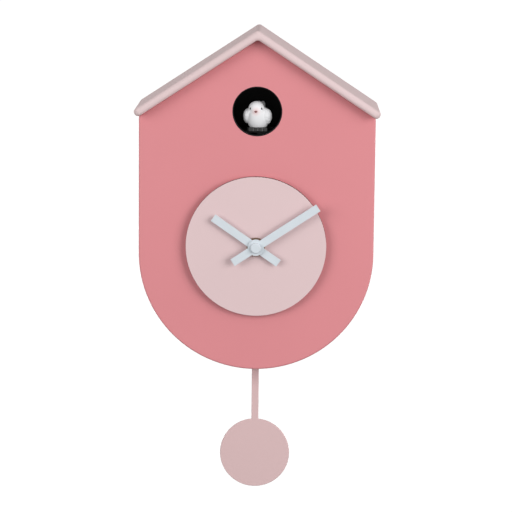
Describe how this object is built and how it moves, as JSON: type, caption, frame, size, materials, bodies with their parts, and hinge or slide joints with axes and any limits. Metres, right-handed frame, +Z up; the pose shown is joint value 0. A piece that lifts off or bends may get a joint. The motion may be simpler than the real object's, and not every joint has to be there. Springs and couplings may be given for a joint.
{
  "type": "cuckoo clock",
  "caption": "House-shaped wall cuckoo clock: lacquered case with half-round base, chevron roof, raised dial with bar hands, bird that slides out of a round window, swinging pendulum.",
  "frame": {"origin": "centre of the hanger's round keyhole entry, on the wall plane", "axes": "+Z up, -Y towards the front (the dial's side), +X to the right as seen from the front"},
  "size_m": [0.2086, 0.0935, 0.4043],
  "materials": {
    "rose_lacquer": "matt lacquered fibreboard",
    "pale_roof_lacquer": "matt lacquered fibreboard",
    "pale_dial_lacquer": "matt lacquered fibreboard",
    "pendulum_lacquer": "matt lacquer on sheet",
    "raw_fibreboard": "raw",
    "hand_enamel": "satin enamel",
    "black_moulding": "fine moulded grain",
    "gloss_black": "gloss",
    "back_moulding": "fine moulded grain",
    "white_moulding": "satin",
    "bird_white": "satin painted",
    "bird_eye": "gloss",
    "bird_beak": "satin painted",
    "brass": "turned",
    "bronzed_brass": "bronzed",
    "steel": "plated",
    "motor_can": "drawn can",
    "rubber": "moulded",
    "copper_wire": "enamelled winding",
    "magnet": "sintered",
    "circuit_board": "solder mask",
    "board_parts": "moulded packages",
    "speaker_paper": "pressed paper",
    "cell_wrap": "printed sleeve, plain",
    "lead_jacket": "PVC jacket"
  },
  "bodies": {
    "root": {"front_panel": "rose_lacquer", "side_wall": "rose_lacquer", "roof": "pale_roof_lacquer", "dial": "pale_dial_lacquer", "roof_cleats": "raw_fibreboard", "fixing_blocks": "raw_fibreboard", "cuckoo_housing": "black_moulding", "dial_spacer": "black_moulding", "movement_case": "black_moulding", "movement_lid": "black_moulding", "pendulum_bracket": "black_moulding", "gear_tray": "black_moulding", "battery_box": "black_moulding", "back_panel": "back_moulding", "stem_washer": "bronzed_brass", "stem_nut": "bronzed_brass", "mounting_stem": "brass", "back_screws": "steel", "hanger_plate": "steel", "hanger_screws": "steel", "housing_screws": "steel", "pivot_pin": "steel", "battery_contacts": "steel", "switch_body": "steel", "cuckoo_motor": "motor_can", "step_motor": "motor_can", "speaker_basket": "motor_can", "gasket": "rubber", "drive_coil": "copper_wire", "sound_board": "circuit_board", "movement_board": "circuit_board", "board_parts": "board_parts", "speaker_cone": "speaker_paper", "batteries": "cell_wrap", "battery_lead": "lead_jacket", "speaker_lead": "lead_jacket", "motor_lead": "lead_jacket"},
    "minute": {"centre_wheel": "white_moulding", "minute_hand": "hand_enamel", "hand_cap": "hand_enamel"},
    "hour": {"hour_wheel": "white_moulding", "hour_hand": "hand_enamel"},
    "setting": {"minute_wheel": "white_moulding", "setting_shaft": "white_moulding", "setting_knob": "black_moulding"},
    "third": {"third_wheel": "white_moulding"},
    "step": {"step_pinion": "brass"},
    "pendulum": {"swing_arm": "black_moulding", "drive_magnet": "magnet", "pendulum": "pendulum_lacquer"},
    "bird": {"rack_bar": "black_moulding", "bird_perch": "gloss_black", "bird_body": "bird_white", "bird_eyes": "bird_eye", "bird_beak": "bird_beak"},
    "drive": {"drive_gear": "black_moulding"},
    "motor_shaft": {"motor_pinion": "brass"},
    "switch": {"switch_lever": "black_moulding"},
    "button": {"demo_button": "black_moulding"},
    "door": {"battery_door": "back_moulding"}
  },
  "joints": [
    {"name": "minute_turn", "type": "hinge", "parent": "root", "child": "minute", "pos_m": [0, -0.0895, -0.145], "axis": [0, 1, 0], "continuous": true},
    {"name": "hour_turn", "type": "hinge", "parent": "root", "child": "hour", "pos_m": [0, -0.088, -0.145], "axis": [0, 1, 0], "continuous": true},
    {"name": "setting_turn", "type": "hinge", "parent": "root", "child": "setting", "pos_m": [0.0132, -0.066, -0.145], "axis": [0, 1, 0], "continuous": true},
    {"name": "third_turn", "type": "hinge", "parent": "root", "child": "third", "pos_m": [-0.01275, -0.063, -0.145], "axis": [0, 1, 0], "continuous": true},
    {"name": "step_turn", "type": "hinge", "parent": "root", "child": "step", "pos_m": [-0.01481, -0.0624, -0.1567], "axis": [0, 1, 0], "continuous": true},
    {"name": "pendulum_swing", "type": "hinge", "parent": "root", "child": "pendulum", "pos_m": [0, -0.0474, -0.124], "axis": [0, 1, 0], "range_deg": [-6, 6]},
    {"name": "bird_slide", "type": "slide", "parent": "root", "child": "bird", "axis": [0, -1, 0], "range_m": [0, 0.032]},
    {"name": "drive_turn", "type": "hinge", "parent": "root", "child": "drive", "pos_m": [0.0126, -0.058, -0.052], "axis": [0, 0, 1], "range_deg": [0, 327.41]},
    {"name": "motor_turn", "type": "hinge", "parent": "root", "child": "motor_shaft", "pos_m": [0.0126, -0.045, -0.055], "axis": [0, 0, 1], "range_deg": [-1091.36, 0]},
    {"name": "switch_slide", "type": "slide", "parent": "root", "child": "switch", "axis": [1, 0, 0], "range_m": [-0.0025, 0.0025]},
    {"name": "button_press", "type": "slide", "parent": "root", "child": "button", "axis": [0, -1, 0], "range_m": [0, 0.0012], "stiffness_N_per_m": 300},
    {"name": "door_swing", "type": "hinge", "parent": "root", "child": "door", "pos_m": [0, -0.0018, -0.2335], "axis": [-1, 0, 0], "range_deg": [0, 100]}
  ],
  "couplings": [
    {"joint": "hour_turn", "follows": "minute_turn", "ratio": 0.083333},
    {"joint": "setting_turn", "follows": "minute_turn", "ratio": -0.33333},
    {"joint": "third_turn", "follows": "minute_turn", "ratio": -7.5},
    {"joint": "step_turn", "follows": "minute_turn", "ratio": 60},
    {"joint": "drive_turn", "follows": "bird_slide", "rad_per_m": 178.57},
    {"joint": "motor_turn", "follows": "bird_slide", "rad_per_m": -595.24}
  ]
}
